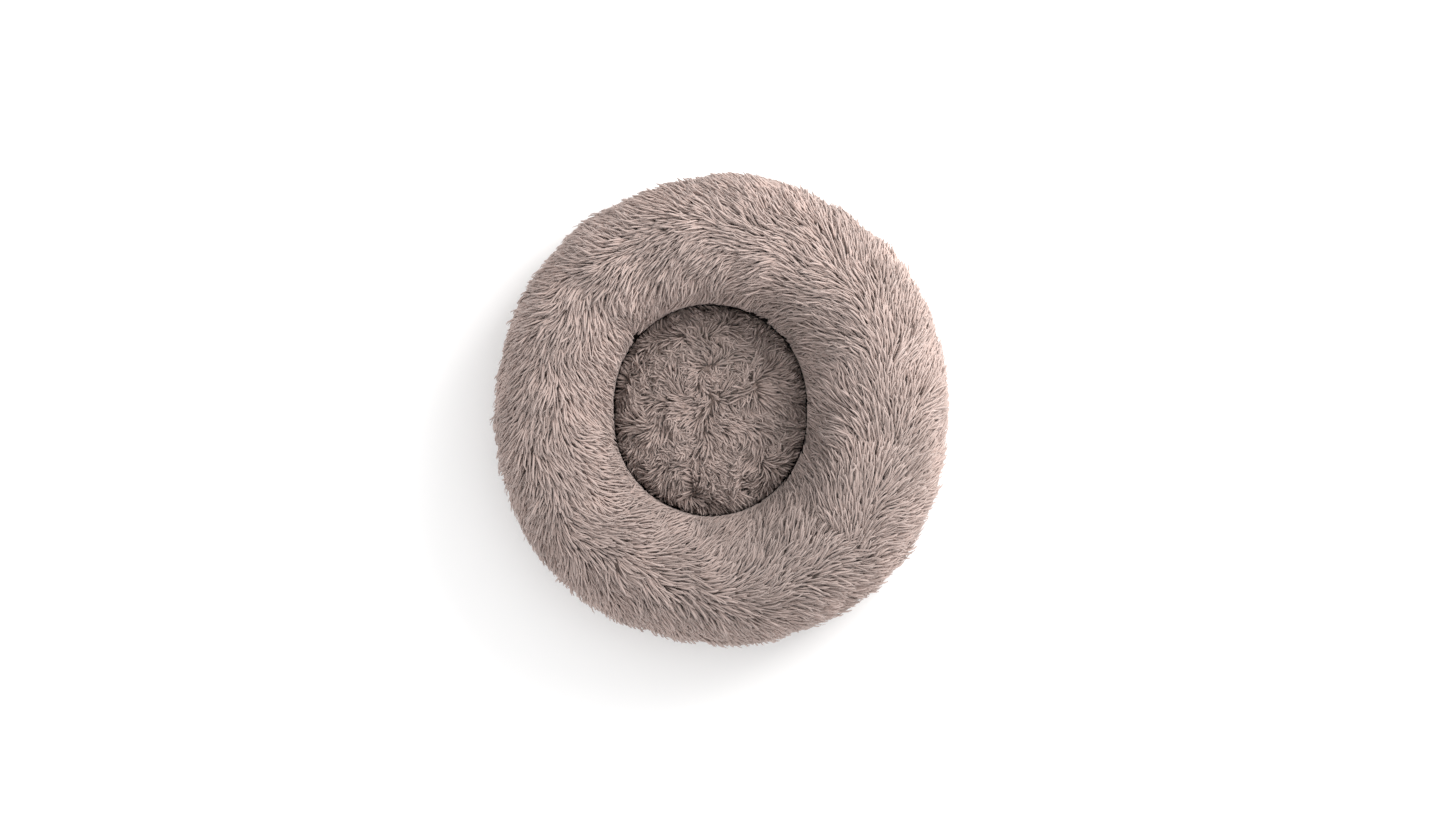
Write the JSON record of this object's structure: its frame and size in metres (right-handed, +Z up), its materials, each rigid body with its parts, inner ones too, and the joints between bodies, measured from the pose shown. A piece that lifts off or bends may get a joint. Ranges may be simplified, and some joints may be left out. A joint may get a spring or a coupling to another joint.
{
  "type": "pet cushion bed",
  "caption": "Round long-pile plush pet bed: a stuffed ring bolster round a well with a loose cushion, on a non-slip base with a zip.",
  "frame": {"origin": "on the floor, at the middle of the bed's outline", "axes": "+Z up; +Y along the bed's longer side, towards the zip; +X across it"},
  "size_m": [0.576, 0.6, 0.18],
  "materials": {
    "plush_ring": "matte",
    "plush_cushion": "matte",
    "cushion_back_cloth": "matte",
    "liner_cloth": "matte",
    "fibre_fill": "matte",
    "base_cloth": "matte",
    "grip_rubber": "matte",
    "label_satin": "satin",
    "zip_tape": "matte",
    "zip_coil": "satin",
    "zip_metal": "satin"
  },
  "bodies": {
    "bolster": {"bolster_cover_left": "plush_ring", "bolster_cover_right": "plush_ring", "bolster_liner": "liner_cloth", "bolster_fill": "fibre_fill", "base_panel": "base_cloth", "grip_dots": "grip_rubber", "care_label": "label_satin", "zip_gusset": "base_cloth", "zip_tape_front": "zip_tape", "zip_tape_rear": "zip_tape", "zip_coil_front": "zip_coil", "zip_coil_rear": "zip_coil", "zip_stops": "zip_metal"},
    "cushion": {"cushion_cover": "plush_cushion", "cushion_back": "cushion_back_cloth", "cushion_liner": "liner_cloth", "cushion_fill": "fibre_fill"},
    "zip_slider": {"zip_slider": "zip_metal"},
    "zip_pull": {"zip_pull": "zip_metal"}
  },
  "joints": [
    {"name": "cushion_lift", "type": "slide", "parent": "bolster", "child": "cushion", "axis": [0, 0, 1], "range_m": [0, 0.22]},
    {"name": "zip_travel", "type": "slide", "parent": "bolster", "child": "zip_slider", "axis": [-1, 0, 0], "range_m": [0, 0.17]},
    {"name": "pull_swing", "type": "hinge", "parent": "zip_slider", "child": "zip_pull", "pos_m": [0.095, 0.2, 0.00405], "axis": [0, -1, 0], "range_deg": [0, 180]}
  ]
}
